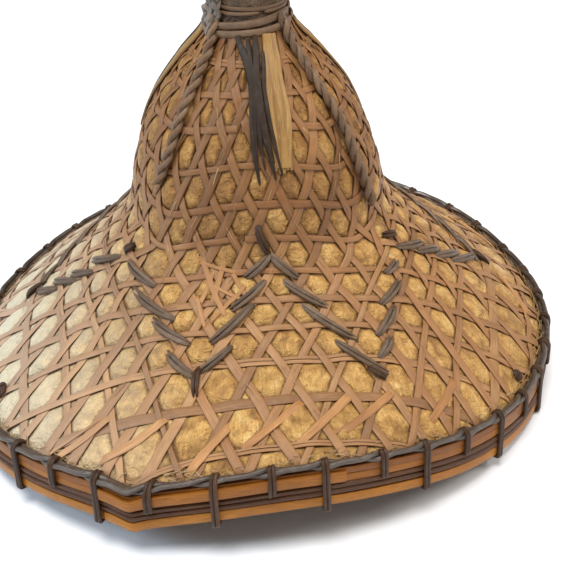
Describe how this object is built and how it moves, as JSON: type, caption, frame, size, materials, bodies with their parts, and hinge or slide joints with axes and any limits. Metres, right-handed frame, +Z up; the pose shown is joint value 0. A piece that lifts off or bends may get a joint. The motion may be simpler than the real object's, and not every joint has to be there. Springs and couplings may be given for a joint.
{
  "type": "conical hat",
  "caption": "Woven bamboo conical hat with a waisted crown, leaf lining, lashed rim, crown ribs, zigzag cane stitching and an inner head ring.",
  "frame": {"origin": "on the hat's axis, in the plane the rim rests on", "axes": "+Z up through the tip, -Y is the front of the hat, +X is to the right when it is seen from the front"},
  "size_m": [0.4252, 0.4263, 0.3072],
  "materials": {
    "bamboo_strip": "dry split bamboo",
    "leaf": "dry bamboo leaf",
    "hoop_bamboo": "polished split bamboo",
    "dark_cane": "aged rattan",
    "grey_cane": "weathered rattan",
    "brown_cane": "aged rattan",
    "slat_bamboo": "split bamboo",
    "neck_leaf": "aged leaf sheath"
  },
  "bodies": {
    "root": {"outer_weave_rows": "bamboo_strip", "outer_weave_right_strips": "bamboo_strip", "outer_weave_left_strips": "bamboo_strip", "inner_weave_rows": "bamboo_strip", "inner_weave_right_strips": "bamboo_strip", "inner_weave_left_strips": "bamboo_strip", "leaf_lining_crown": "leaf", "leaf_lining_brim": "leaf", "lower_rim_hoop": "hoop_bamboo", "upper_rim_hoop": "hoop_bamboo", "rim_hoop_splice": "hoop_bamboo", "inner_rim_hoop": "hoop_bamboo", "middle_rim_canes": "dark_cane", "edge_cane": "dark_cane", "long_rim_lashings": "dark_cane", "short_rim_lashings": "dark_cane", "zigzag_stitches": "grey_cane", "zigzag_end_stitches": "grey_cane", "wrapped_rib_cores": "dark_cane", "rib_wrapping": "brown_cane", "crown_slats": "slat_bamboo", "slat_side_canes": "grey_cane", "neck_wraps": "brown_cane", "neck_strap": "brown_cane", "neck_collar_band": "neck_leaf", "tip_plug": "hoop_bamboo", "tip_wraps": "dark_cane", "neck_knots": "grey_cane", "side_knots": "dark_cane", "head_ring": "hoop_bamboo", "head_ring_ties": "brown_cane"}
  },
  "joints": []
}
